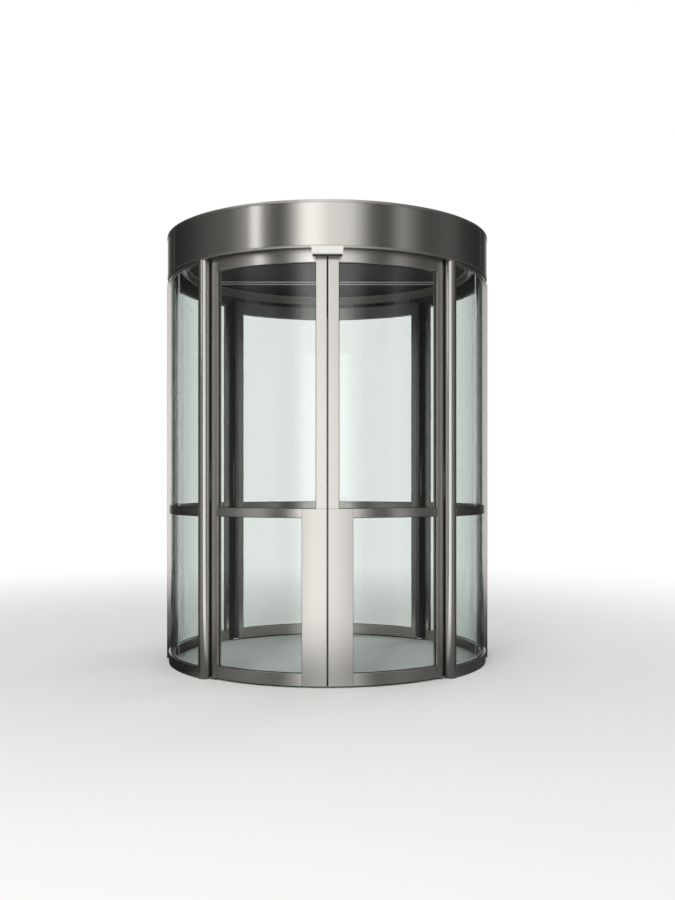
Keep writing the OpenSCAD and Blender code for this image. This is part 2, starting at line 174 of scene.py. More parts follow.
def new_material(name):
    """An empty material, its node tree, and the place that its patterns follow, in metres."""
    material = bpy.data.materials.new(name)
    material.use_nodes = True
    tree = material.node_tree
    tree.nodes.clear()
    return material, tree, add(tree, "TexCoord").outputs["Object"]


def new_object(name, data):
    """An object in the scene with the given mesh, lamp or camera."""
    thing = bpy.data.objects.new(name, data)
    bpy.context.scene.collection.objects.link(thing)
    return thing


def mesh_object(name, mesh, materials):
    """Turns a bmesh into an object in the scene."""
    data = bpy.data.meshes.new(name)
    mesh.to_mesh(data)
    mesh.free()
    for material in materials:
        data.materials.append(material)
    return new_object(name, data)


def give(material, *names):
    """Puts a material on each of the named CAD nodes."""
    for name in names:
        for slot in NODES[name].material_slots:
            slot.material = material


# Stainless steel

def around(tree):
    """Direction along the drum, level with the floor."""
    place = add(tree, "NewGeometry").outputs["Position"]
    return add(tree, "VectorMath", {0: UP, 1: place}, operation="CROSS_PRODUCT")


def streaks(tree, place, size):
    """Noise whose marks have the given size along X, Y and Z."""
    scaled = add(tree, "VectorMath", {0: place, 1: [1 / s for s in size]}, operation="MULTIPLY")
    return add(tree, "TexNoise", {"Vector": scaled, "Scale": 1.0, "Detail": 4.0, "Roughness": 0.6})


def level_grain(tree, place, normal):
    """Brush marks that run along the drum, and the direction across them."""
    look = bpy.context.scene.door_steel
    axes = add(tree, "SeparateXYZ", {0: place}).outputs
    flat = add(tree, "CombineXYZ", {0: axes["X"], 1: axes["Y"]})
    radius = add(tree, "VectorMath", {0: flat}, operation="LENGTH").outputs["Value"]
    # Height and radius count together, so that level faces have marks too
    across = add(tree, "Math", {0: axes["Z"], 1: radius})
    place = add(tree, "CombineXYZ", {0: axes["X"], 1: axes["Y"], 2: across})
    marks = streaks(tree, place, (look.mark_length, look.mark_length, look.mark_width))
    cross = add(tree, "VectorMath", {0: normal, 1: around(tree)}, operation="CROSS_PRODUCT")
    return marks, add(tree, "VectorMath", {0: cross}, operation="NORMALIZE")


def upright_grain(tree, place, normal):
    """Brush marks that run upright, and the direction across them."""
    look = bpy.context.scene.door_steel
    marks = streaks(tree, place, (look.mark_width, look.mark_width, look.mark_length))
    cross = add(tree, "VectorMath", {0: normal, 1: UP}, operation="CROSS_PRODUCT")
    # A level face has no direction across upright marks: there this hundredth part decides
    nudge = add(tree, "VectorMath", {0: around(tree), "Scale": 0.01}, operation="SCALE")
    both = add(tree, "VectorMath", {0: cross, 1: nudge})
    return marks, add(tree, "VectorMath", {0: both}, operation="NORMALIZE")


def leaf_joints(tree, place):
    """Where a leaf's stiles are, and the lines at which its rails meet them."""
    trim = bpy.context.scene.door_trim
    low, high = LEAF_PANES
    half = trim.joint_w / 2
    wide = low.angle[0] * LEAF_R + trim.bite + half
    slim = high.angle[0] * LEAF_R + trim.bite + half
    back = low.angle[1] * LEAF_R - trim.bite - half
    mid_top = high.height[0] + trim.bite
    axes = add(tree, "SeparateXYZ", {0: place}).outputs
    side = add(tree, "Math", {0: axes["X"]}, operation="ABSOLUTE")
    depth = add(tree, "Math", {0: axes["Y"]}, operation="ABSOLUTE")
    angle = add(tree, "Math", {0: side, 1: depth}, operation="ARCTAN2")
    length = add(tree, "Math", {0: angle, 1: LEAF_R}, operation="MULTIPLY")
    above = add(tree, "Math", {0: axes["Z"], 1: mid_top + half}, operation="GREATER_THAN")
    edge = add(tree, "Math", {0: above, 1: slim - wide, 2: wide}, operation="MULTIPLY_ADD")
    meeting = add(tree, "Math", {0: length, 1: edge}, operation="LESS_THAN")
    rear = add(tree, "Math", {0: length, 1: back}, operation="GREATER_THAN")
    stiles = add(tree, "Math", {0: meeting, 1: rear}, operation="MAXIMUM")
    at_edge = add(tree, "Math", {0: length, 1: edge, 2: half}, operation="COMPARE")
    at_back = add(tree, "Math", {0: length, 1: back, 2: half}, operation="COMPARE")
    lines = add(tree, "Math", {0: at_edge, 1: at_back}, operation="MAXIMUM")
    # Beside a pane a stile has no joint
    for pane in LEAF_PANES:
        middle = sum(pane.height) / 2
        reach = pane.height[1] - trim.bite - middle
        beside = add(tree, "Math", {0: axes["Z"], 1: middle, 2: reach}, operation="COMPARE")
        lines = add(tree, "Math", {0: lines, 1: beside}, operation="GREATER_THAN")
    # The slim stile stands on the middle rail
    at_top = add(tree, "Math", {0: axes["Z"], 1: mid_top, 2: half}, operation="COMPARE")
    in_slim = add(tree, "Math", {0: length, 1: slim}, operation="LESS_THAN")
    at_top = add(tree, "Math", {0: at_top, 1: in_slim}, operation="MULTIPLY")
    return stiles, add(tree, "Math", {0: lines, 1: at_top}, operation="MAXIMUM")


def satin_stainless(name, grains, roughness, colours=None, anisotropy=None):
    """Stainless steel sheet, 1.4301, ground with a belt: a pale warm grey whose reflections
    are drawn out across the fine marks, so that upright and level grain look different."""
    look = bpy.context.scene.door_steel
    pale, dark = colours or (look.colour, look.colour_dark)
    material, tree, place = new_material(name)
    rounded = add(tree, "Bevel", {"Radius": look.edge_radius}, samples=6)
    marks, tangent = grains[0](tree, place, rounded)
    lines = None
    if len(grains) > 1:
        other_marks, other_tangent = grains[1](tree, place, rounded)
        stiles, lines = leaf_joints(tree, place)
        marks = add(tree, "Mix", {"Factor": stiles, "A": marks, "B": other_marks})
        tangent = add(tree, "Mix", {"Factor": stiles, 4: tangent, 5: other_tangent},
                      data_type="VECTOR").outputs[1]
    tone = add(tree, "Mix", {"Factor": marks, 6: linear(dark), 7: linear(pale)}, data_type="RGBA").outputs[2]
    if lines is not None:
        tone = add(tree, "Mix", {"Factor": lines, 6: tone, 7: linear(look.joint_colour)},
                   data_type="RGBA").outputs[2]
    spread = look.roughness_spread
    rough = add(tree, "MapRange",
                {"Value": marks, "To Min": roughness - spread, "To Max": roughness + spread})
    steel = add(tree, "BsdfPrincipled",
                {"Base Color": tone, "Metallic": 1.0, "Roughness": rough,
                 "Anisotropic": look.anisotropy if anisotropy is None else anisotropy,
                 "Tangent": tangent, "Normal": rounded})
    add(tree, "OutputMaterial", {"Surface": steel})
    return material


# Other materials

def clear_glass(name, tint):
    """Float glass bent in the heat: clear, faintly green from its iron, and smooth, with
    shallow ripples that make reflections waver."""
    look = bpy.context.scene.door_glass
    material, tree, place = new_material(name)
    ripple = add(tree, "TexNoise", {"Vector": place, "Scale": 1 / look.ripple_length, "Detail": 1.0})
    surface = add(tree, "Bump", {"Height": ripple, "Distance": look.ripple_height})
    glass = add(tree, "BsdfPrincipled",
                {"Base Color": linear(tint), "Roughness": 0.0, "IOR": look.ior,
                 "Transmission Weight": 1.0, "Normal": surface})
    clear = add(tree, "BsdfTransparent", {"Color": linear(tint)})
    lamp = add(tree, "LightPath").outputs["Is Shadow Ray"]
    both = add(tree, "MixShader", {0: lamp, 1: glass, 2: clear})
    add(tree, "OutputMaterial", {"Surface": both})
    return material


def varied(tree, tone, gloss, colour, dark, roughness, spread, metallic, specular=0.5):
    """A surface whose colour lies between two close ones, and whose roughness varies by a share."""
    mixed = add(tree, "Mix", {"Factor": tone, 6: linear(dark), 7: linear(colour)}, data_type="RGBA")
    rough = add(tree, "MapRange",
                {"Value": gloss, "To Min": roughness * (1 - spread), "To Max": roughness * (1 + spread)})
    shader = add(tree, "BsdfPrincipled", {"Base Color": mixed.outputs[2], "Metallic": metallic,
                                          "Roughness": rough, "Specular IOR Level": specular})
    add(tree, "OutputMaterial", {"Surface": shader})
    return shader


def grained(name, colour, dark, grain_mm, roughness, metallic=0.0, bump_mm=0.0, specular=0.5):
    """A surface with a fine grain, drawn coarser than real so that it shows."""
    material, tree, place = new_material(name)
    grain = streaks(tree, place, [grain_mm * MM] * 3)
    shader = varied(tree, grain, grain, colour, dark, roughness, GRAIN_SPREAD, metallic, specular)
    if bump_mm:
        bump = add(tree, "Bump", {"Height": grain, "Distance": bump_mm * MM, "Strength": 1.0})
        tree.links.new(bump.outputs[0], shader.inputs["Normal"])
    return material


def galvanised(name, colour, dark, crystal_mm, roughness):
    """Hot dip galvanised sheet: flat zinc crystals, each with its own grey and gloss."""
    material, tree, place = new_material(name)
    cells = add(tree, "TexVoronoi", {"Vector": place, "Scale": 1 / (crystal_mm * MM)})
    chance = add(tree, "SeparateColor", {0: cells.outputs["Color"]}).outputs
    varied(tree, chance[0], chance[1], colour, dark, roughness, CRYSTAL_SPREAD, metallic=1.0)
    return material


# Mesh helpers

def round_edges(name, radius):
    """Gives the sharp edges of a CAD node a small radius that catches the light."""
    node = NODES[name]
    weld = node.modifiers.new("weld", "WELD")
    weld.merge_threshold = 0.02 * MM
    bevel = node.modifiers.new("edge_radius", "BEVEL")
    bevel.width = radius
    bevel.segments = 3
    bevel.limit_method = "ANGLE"
    bevel.angle_limit = math.radians(40)
    bevel.harden_normals = True


def at(r, a, z):
    return (r * math.sin(a), -r * math.cos(a), z)


def swept(mesh, rings, material=0, closed=False):
    """Skins a row of closed rings of points, and caps both ends or joins them."""
    rings = [[mesh.verts.new(point) for point in ring] for ring in rings]
    faces = [] if closed else [mesh.faces.new(reversed(rings[0])), mesh.faces.new(rings[-1])]
    for near, far in zip(rings, rings[1:] + (rings[:1] if closed else [])):
        for i in range(len(near)):
            j = (i + 1) % len(near)
            faces.append(mesh.faces.new((near[i], near[j], far[j], far[i])))
    for face in faces:
        face.material_index = material


def along_drum(mesh, profile, corner, angles, material=0):
    """Sweeps a profile in (radius, height) along the drum between two angles of a corner."""
    a0, a1 = angles
    steps = max(1, math.ceil(abs(a1 - a0) / FACET))
    swept(mesh, [[at(r, corner_angle(corner, a0 + (a1 - a0) * i / steps), z) for r, z in profile]
                 for i in range(steps + 1)], material)


def upright(mesh, section, corner, heights, material=0):
    """Stands a section in (radius, angle) up between two heights."""
    swept(mesh, [[at(r, corner_angle(corner, a), z) for r, a in section] for z in heights], material)


def box_profile(r, other):
    return ((r[0], other[0]), (r[1], other[0]), (r[1], other[1]), (r[0], other[1]))


def middle_part(ends, part):
    """The middle of a range, as wide as the given share of it."""
    middle = sum(ends) / 2
    half = (ends[1] - ends[0]) * part / 2
    return middle - half, middle + half


def make_piece(name, mesh, materials, body):
    """Turns a bmesh into a piece that rides on a body."""
    bmesh.ops.recalc_face_normals(mesh, faces=mesh.faces)
    piece = mesh_object(name, mesh, materials)
    piece.data.shade_smooth()
    piece.data.set_sharp_from_angle(angle=SHARP)
    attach(piece, body)
    return piece


# Kinds of property

def hex_colour(name, default, about):
    return StringProperty(name=name, default=default, description=about)


def metres(name, default, about):
    return FloatProperty(name=name, default=default, description=about, unit="LENGTH")


def mm(name, default, about):
    """A length with its default in millimetres."""
    return metres(name, default * MM, about)


def share(name, default, about):
    return FloatProperty(name=name, default=default, description=about, min=0.0, max=1.0,
                         subtype="FACTOR")


def number(name, default, about):
    return FloatProperty(name=name, default=default, description=about)


def limits(name, default, about, unit="LENGTH"):
    return FloatVectorProperty(name=name, default=default, description=about, size=2, unit=unit)


# Sizes and colours

class SteelLook(bpy.types.PropertyGroup):
    """Stainless steel"""
    colour: hex_colour("Colour", "#D6D3CD", "Colour of the steel between the marks")
    colour_dark: hex_colour("Mark colour", "#C9C6C0", "Colour in the brush marks")
    joint_colour: hex_colour("Joint colour", "#55534F",
                             "Colour of the lines where a leaf's rails meet its stiles")
    leaf_colour: hex_colour("Leaf colour", "#E2DFD9", "Colour of the leaves' steel")
    leaf_colour_dark: hex_colour("Leaf mark colour", "#D6D3CD", "Colour in the brush marks on the leaves")
    sheet_roughness: share("Sheet roughness", 0.28, "Mean roughness of the curved sheets")
    post_roughness: share("Post roughness", 0.2, "Mean roughness of the posts")
    leaf_roughness: share("Leaf roughness", 0.31, "Mean roughness of the leaves")
    edge_roughness: share("Edge roughness", 0.45, "Mean roughness of the rim and the lip")
    ring_roughness: share("Ring roughness", 0.5, "Mean roughness of the ring inside")
    roughness_spread: share("Roughness spread", 0.02, "How far the marks change the roughness")
    anisotropy: share("Anisotropy", 0.88, "How far reflections are drawn out across the marks")
    leaf_anisotropy: share("Leaf anisotropy", 0.75, "The same for the leaves")
    edge_anisotropy: share("Edge anisotropy", 0.5, "The same for the rim and the lip")
    ring_anisotropy: share("Ring anisotropy", 0.0, "The same for the ring inside")
    edge_radius: mm("Edge radius", 3, "Radius on the edges of bars, frames and posts")
    mark_width: mm("Mark width", 3, "Width of a brush mark, far coarser than real so that it shows")
    mark_length: mm("Mark length", 1500, "Length of a brush mark")


class GlassLook(bpy.types.PropertyGroup):
    """Glass"""
    leaf_tint: hex_colour("Leaf tint", "#F4F8F6", "Tint of one face of the leaves' glass")
    side_tint: hex_colour("Side tint", "#F0F6F3", "Tint of one face of the side walls' glass")
    ior: number("IOR", 1.52, "Refractive index of float glass")
    ripple_length: mm("Ripple length", 110, "Distance between the shallow ripples in the glass")
    ripple_height: mm("Ripple height", 0.3, "Height of those ripples")


class TrimSizes(bpy.types.PropertyGroup):
    """Trims"""
    bite: mm("Bite", 11.7, "How far a pane reaches into its frame")
    joint_w: mm("Joint width", 2, "Width of the lines between stiles and rails")
    gasket_w: mm("Gasket width", 4, "How far a gasket shows on the glass")
    gasket_t: mm("Gasket thickness", 3, "Height of a gasket off the glass")
    gasket_thin: share("Gasket edge", 0.4, "Share of that height where the gasket ends on the glass")
    bulb_r: mm("Bulb radius", 3.8, "Radius of the bulbs on a leaf's rubber nose")
    bulb_inset: mm("Bulb inset", 5.7, "Distance from the nose's sides to its bulbs' middles")
    nose_base: mm("Nose base", 1.14, "Thickness of the nose beside its bulbs")
    lap_w: mm("Lap width", 2.4, "How far the nose's rubber laps a stile's face")
    lap_t: mm("Lap thickness", 0.5, "Thickness of that rubber")
    carrier_w: mm("Brush carrier", 20, "Width of the metal strip that holds the brush at a leaf's edge")
    carrier_h: mm("Sill brush carrier", 3.5, "Height of the strip that holds the brush under a leaf")
    tuft: mm("Tuft", 5, "Pitch of a brush's tufts, coarse enough to show")
    tuft_fill: share("Tuft fill", 0.94, "Share of the pitch that a tuft fills")
    edge_pile: share("Edge pile", 0.5, "Share of the edge seal's thickness that is brush")
    sill_pile: share("Sill pile", 0.6, "Share of the sill seal's thickness that is brush")
    edge_step: mm("Edge step", 0.8, "Step between tufts of uneven length at a leaf's edge")
    sill_step: mm("Sill step", 0.3, "Step between tufts of uneven length under a leaf")
    pile_floor_gap: mm("Pile gap", 0.6, "Gap between the sill brush and the floor")
    strip_w: mm("Joint strip width", 40, "Width of the strips behind the fascia's upright joints")
    strip_t: mm("Joint strip thickness", 2, "Thickness of those strips")
    strip_gap: mm("Joint strip gap", 0.3, "Gap between those strips and the fascia")
    strip_short: mm("Joint strip ends", 1, "Gap above and below those strips")
    batten_w: mm("Batten width", 60, "Width of the strips over the roof's joints")
    batten_t: mm("Batten height", 7, "Height of those strips")
    batten_slope: mm("Batten slope", 4.9, "Width of a sloping side of those strips")
    batten_gap: mm("Batten gap", 24, "Gap between those strips and the ring of screws")
    bead_w: mm("Bead width", 8, "Width of a bead of sealant on the roof")
    screw_r: mm("Screw radius", 8, "Radius of a roof screw's head")
    screw_inset: mm("Screw inset", 32, "Distance from the rim to the ring of screws")
    screw_count: IntProperty(name="Screws", default=36, description="Number of screws round the roof")
    strip_screws: IntProperty(name="Strip screws", default=8,
                              description="Number of screws along each strip over the roof's joints")
    case_r: mm("Case radius", 4, "Radius on the edges of the sensors' cases")


class StageSizes(bpy.types.PropertyGroup):
    """Stage"""
    camera_distance: metres("Camera distance", 7.851, "Distance from the camera to the drum's axis")
    camera_height: metres("Camera height", 1.4128, "Height of the camera above the floor")
    camera_turn: FloatProperty(name="Camera turn", default=math.radians(0.59), unit="ROTATION",
                               description="How far the camera is turned away from the axis")
    lens: number("Lens", 38.9, "Focal length in millimetres")
    shift: number("Rise", 0.0352, "Rise of the lens, as a share of the long side")
    floor_colour: hex_colour("Floor colour", "#E6E6E4", "Colour of the floor")
    floor_r: metres("Floor radius", 40.0, "Radius of the floor")
    fade: limits("Fade", (2.6, 9.0), "Distances between which the floor fades to white")
    near: limits("Near", (1.4, 4.6), "Distances between which the floor's grey turns to the screen's")
    ambient: number("Ambient", 0.75, "Level of the light from all round")
    key: number("Key", 420.0, "Power of the main lamp in watts")
    fill: share("Fill", 0.5, "Power of the second lamp, as a share of the main one's")
    aim_height: metres("Aim height", 1.6, "Height at which the lamps point")
    screen_r: metres("Screen distance", 10.5, "Distance from the axis to the grey screen")
    screen_h: metres("Screen height", 16.0, "Height of the grey screen")
    screen_t: metres("Screen thickness", 0.05, "Thickness of the screen and the card")
    screen_gap: metres("Screen gap", 0.005, "Gap between the screen and the floor")
    screen_level: number("Screen level", 1.6, "Brightness of a white part of the screen")
    low_gain: number("Low gain", 1.15, "How much brighter the screen is near the floor")
    low: limits("Low part", (2.5, 4.5), "Heights between which that gain ends")
    card: limits("Card", (math.radians(-50.5), math.radians(-44)),
                 "Azimuths between which a bright card hangs", unit="ROTATION")
    card_gap: metres("Card gap", 0.35, "Distance from the card to the screen behind it")
    card_foot: metres("Card foot", 3.4, "Height of the card's lower edge")
    card_level: number("Card level", 2.0, "Brightness of the card")


# Operators

class PieceOperator:
    """What the operators below have in common"""
    bl_options = {"REGISTER", "UNDO"}


class DOOR_OT_drum_steel(PieceOperator, bpy.types.Operator):
    """Satin stainless steel on the posts, walls, fascia and rings of the drum"""
    bl_idname = "door.drum_steel"
    bl_label = "Drum Steel"

    def execute(self, context):
        look = context.scene.door_steel
        give(satin_stainless("satin_stainless_level_grain", (level_grain,), look.sheet_roughness),
             "fascia", "plinth_left", "plinth_right", "side_rail_left", "side_rail_right")
        give(satin_stainless("satin_stainless_rolled_edge", (level_grain,), look.edge_roughness,
                             anisotropy=look.edge_anisotropy),
             "fascia_lip", "roof_rim")
        give(satin_stainless("satin_stainless_ring", (level_grain,), look.ring_roughness,
                             anisotropy=look.ring_anisotropy),
             "inner_ring")
        give(satin_stainless("satin_stainless_upright_grain", (upright_grain,), look.post_roughness),
             *[name for name in NODES if name.startswith(("post_", "wall_post_"))])
        # Painted shade: stainless steel coloured dark grey for the shade under the head, greyer and duller
        # than the faces below and in front of it
        give(grained("painted_shade_stainless", "#6E6C68", "#64625E", grain_mm=12, roughness=0.5,
                     metallic=1.0), "soffit")
        return {"FINISHED"}


class DOOR_OT_leaf_frames(PieceOperator, bpy.types.Operator):
    """Satin stainless steel on the leaves, upright on the stiles and level on the rails"""
    bl_idname = "door.leaf_frames"
    bl_label = "Leaf Frames"

    def execute(self, context):
        look = context.scene.door_steel
        steel = satin_stainless("satin_stainless_leaf", (level_grain, upright_grain), look.leaf_roughness,
                                (look.leaf_colour, look.leaf_colour_dark), look.leaf_anisotropy)
        give(steel, *[corner + "_frame" for corner in CORNERS])
        return {"FINISHED"}


class DOOR_OT_glazing(PieceOperator, bpy.types.Operator):
    """Clear curved glass in the leaves and the side walls"""
    bl_idname = "door.glazing"
    bl_label = "Glazing"

    def execute(self, context):
        look = context.scene.door_glass
        give(clear_glass("float_glass_leaf", look.leaf_tint), *[corner + "_glass" for corner in CORNERS])
        give(clear_glass("float_glass_side", look.side_tint),
             *["side_glass_" + corner for corner in CORNERS])
        return {"FINISHED"}


class DOOR_OT_gaskets(PieceOperator, bpy.types.Operator):
    """Black gaskets round the panes, on both faces, and pale joints between the side panes"""
    bl_idname = "door.gaskets"
    bl_label = "Gaskets"

    def execute(self, context):
        trim = context.scene.door_trim
        # Extruded EPDM rubber: black and dull
        rubber = grained("epdm_gasket", "#1B1B1B", "#121212", grain_mm=4, roughness=0.55)
        # Translucent silicone, smoothed by hand: pale, with a soft shine
        silicone = grained("silicone_joint", "#C9CBC8", "#BFC1BE", grain_mm=5, roughness=0.45)
        for corner in CORNERS:
            mesh = bmesh.new()
            for pane in LEAF_PANES:
                self.frame_pane(mesh, trim, corner, pane, (True, True))
            make_piece(corner + "_gaskets", mesh, [rubber], corner + "_leaf")
        # Of the eight ends of the side panes in a row, the fourth and fifth face each other
        joint = sorted(a for pane in SIDE_PANES for a in pane.angle)[3:5]
        side_rubber = bmesh.new()
        joints = bmesh.new()
        for corner in CORNERS:
            for pane in SIDE_PANES:
                self.frame_pane(side_rubber, trim, corner, pane, [a not in joint for a in pane.angle])
                if pane.angle[1] in joint:
                    heights = (pane.height[0] + trim.bite, pane.height[1] - trim.bite)
                    upright(joints, box_profile(pane.radius, joint), corner, heights)
        make_piece("side_gaskets", side_rubber, [rubber], "drum")
        make_piece("side_glass_joints", joints, [silicone], "drum")
        return {"FINISHED"}

    def frame_pane(self, mesh, trim, corner, pane, ends):
        """Gaskets along the top and bottom of a pane and along the ends that ask for one."""
        (r0, r1), (a0, a1), (z0, z1) = pane
        r = (r0 + r1) / 2
        z0, z1 = z0 + trim.bite, z1 - trim.bite
        angles = (a0 + ends[0] * trim.bite / r, a1 - ends[1] * trim.bite / r)
        turn = trim.gasket_w / r
        for face, out in ((r1, trim.gasket_t), (r0, -trim.gasket_t)):
            thin = trim.gasket_thin * out
            along_drum(mesh, self.wedge(face, out, thin, z0, trim.gasket_w), corner, angles)
            along_drum(mesh, self.wedge(face, out, thin, z1, -trim.gasket_w), corner, angles)
            for edge, into, wanted in zip(angles, (turn, -turn), ends):
                if wanted:
                    upright(mesh, self.wedge(face, out, thin, edge, into), corner,
                            (z0 + trim.gasket_w, z1 - trim.gasket_w))

    def wedge(self, face, out, thin, edge, into):
        """Section of a gasket: full height at the frame's edge and thin where it ends."""
        return ((face, edge), (face + out, edge), (face + thin, edge + into), (face, edge + into))


class DOOR_OT_seals(PieceOperator, bpy.types.Operator):
    """Rubber noses at the seams, brushes behind the posts and brushes over the floor"""
    bl_idname = "door.seals"
    bl_label = "Seals"

    # Material slots of a set of seals, and the number of lengths that its tufts have
    RUBBER, PILE, STRIP = range(3)
    LENGTHS = 3

    def execute(self, context):
        trim = context.scene.door_trim
        # Extruded EPDM rubber, which rubbing keeps a little smoother than a gasket
        rubber = grained("epdm_seal", "#1A1A1A", "#101010", grain_mm=3, roughness=0.5)
        # Nylon bristles: the light is lost between them, so they are dull and nearly black
        pile = grained("nylon_pile", "#161616", "#0A0A0A", grain_mm=1.5, roughness=0.8)
        # Anodised aluminium strip: plain grey with a satin shine
        strip = grained("anodised_strip", "#8B8B89", "#7C7C7A", grain_mm=4, roughness=0.4, metallic=1.0)
        sill = min(SEALS, key=lambda solid: solid.height[1])
        nose = min(SEALS, key=lambda solid: solid.angle[1])
        brush = max(SEALS, key=lambda solid: solid.angle[1])
        for corner in CORNERS:
            mesh = bmesh.new()
            self.make_nose(mesh, trim, corner, nose)
            self.make_edge_brush(mesh, trim, corner, brush)
            self.make_sill_brush(mesh, trim, corner, sill)
            piece = make_piece(corner + "_seal_set", mesh, [rubber, pile, strip],
                               corner + "_leaf")
            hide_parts(corner + "_seals")
        return {"FINISHED"}

    def make_nose(self, mesh, trim, corner, solid):
        """Base on the stile's edge, with two bulbs that all but meet those of the other leaf, and
        rubber that laps both faces of the stile."""
        (r0, r1), (a0, a1), heights = solid
        base = a1 - trim.nose_base / LEAF_R
        swell = (trim.bulb_r - trim.nose_base) / LEAF_R
        steps = 8
        points = [(r0, a1), (r0, base)]
        for middle in (r0 + trim.bulb_inset, r1 - trim.bulb_inset):
            for i in range(steps + 1):
                swing = math.pi * i / steps
                points.append((middle - trim.bulb_r * math.cos(swing), base - swell * math.sin(swing)))
        points += [(r1, base), (r1, a1)]
        upright(mesh, points, corner, heights, self.RUBBER)
        lap = trim.lap_w / LEAF_R
        skin = trim.lap_t / LEAF_R
        for near, far in ((r1, LEAF_R), (r0, LEAF_FRAME.radius[0])):
            proud = far + math.copysign(trim.lap_t, far - near)
            upright(mesh, ((near, a1 - skin), (proud, a1 - skin), (proud, a1 + lap), (far, a1 + lap),
                           (far, a1), (near, a1)), corner, heights, self.RUBBER)

    def make_edge_brush(self, mesh, trim, corner, solid):
        """Metal strip on the leaf's edge that holds tufts reaching behind the post."""
        (r0, r1), (a0, a1), (z0, z1) = solid
        held = a0 + trim.carrier_w / LEAF_R
        upright(mesh, box_profile((r0, r1), (a0, held)), corner, (z0, z1), self.STRIP)
        core = middle_part((r0, r1), trim.edge_pile)
        count = int((z1 - z0) / trim.tuft)
        half = trim.tuft * trim.tuft_fill / 2
        for i in range(count):
            z = z0 + (z1 - z0) * (i + 0.5) / count
            end = a1 - (i % self.LENGTHS) * trim.edge_step / LEAF_R
            upright(mesh, box_profile(core, (held, end)), corner, (z - half, z + half), self.PILE)

    def make_sill_brush(self, mesh, trim, corner, solid):
        """Strip under the leaf with tufts that reach down to the floor."""
        (r0, r1), (a0, a1), (z0, z1) = solid
        held = z1 - trim.carrier_h
        along_drum(mesh, box_profile((r0, r1), (held, z1)), corner, (a0, a1), self.STRIP)
        core = middle_part((r0, r1), trim.sill_pile)
        count = int((a1 - a0) * r1 / trim.tuft)
        half = (a1 - a0) / count * trim.tuft_fill / 2
        for i in range(count):
            a = a0 + (a1 - a0) * (i + 0.5) / count
            foot = trim.pile_floor_gap + (i % self.LENGTHS) * trim.sill_step
            along_drum(mesh, box_profile(core, (foot, held)), corner, (a - half, a + half), self.PILE)


class DOOR_OT_head(PieceOperator, bpy.types.Operator):
    """Primed beam, aluminium track and zinc plated carriages in the head"""
    bl_idname = "door.head"
    bl_label = "Head"

    def execute(self, context):
        # Steel with a sprayed primer: an even, dull grey
        give(grained("primed_steel", "#55585A", "#4A4D4F", grain_mm=12, roughness=0.55),
             "ring_beam", "head_plate", "track_hanger")
        # Aluminium as it left the die: pale, with a soft shine
        give(grained("mill_aluminium", "#D2D3D4", "#C2C3C5", grain_mm=6, roughness=0.35, metallic=1.0),
             "track_rail")
        # Zinc plated steel: a bluish, satin grey
        give(grained("zinc_plated_steel", "#B9BCC0", "#A2A6AB", grain_mm=9, roughness=0.38, metallic=1.0),
             *[corner + "_carriages" for corner in CORNERS])
        return {"FINISHED"}


class DOOR_OT_fascia_joints(PieceOperator, bpy.types.Operator):
    """Pale strips behind the upright joints of the fascia"""
    bl_idname = "door.fascia_joints"
    bl_label = "Fascia Joints"

    def execute(self, context):
        trim = context.scene.door_trim
        front = min(FASCIA, key=lambda sheet: sheet.angle[0])
        side = max(FASCIA, key=lambda sheet: sheet.angle[0])
        joint = (front.angle[1] + side.angle[0]) / 2
        half = trim.strip_w / 2 / DRUM_R
        r = SHEET_IN_R - trim.strip_gap
        heights = (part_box("fascia_lip")[1].z + trim.strip_short,
                   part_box("roof_plate")[0].z - trim.strip_short)
        mesh = bmesh.new()
        for corner in CORNERS:
            along_drum(mesh, box_profile((r - trim.strip_t, r), heights), corner,
                       (joint - half, joint + half))
        # Bright stainless strip: pale, so that a joint shows as a light line
        strip = grained("bright_stainless_strip", "#E4E2DD", "#DAD8D3", grain_mm=8, roughness=0.3,
                        metallic=0.6)
        make_piece("fascia_joint_strips", mesh, [strip], "drum")
        return {"FINISHED"}


class DOOR_OT_ceiling(PieceOperator, bpy.types.Operator):
    """Dark coated ceiling panels with pale aluminium trims along their slots"""
    bl_idname = "door.ceiling"
    bl_label = "Ceiling"

    def execute(self, context):
        # Powder coated panel: dark and nearly without shine
        give(grained("coated_panel", "#26292A", "#212324", grain_mm=30, roughness=0.6, specular=0.15),
             "ceiling")
        # Anodised aluminium: pale and soft, part metal and part the oxide on it
        give(grained("anodised_aluminium", "#F0F0EE", "#E4E4E2", grain_mm=6, roughness=0.4, metallic=0.3),
             "ceiling_trims")
        return {"FINISHED"}


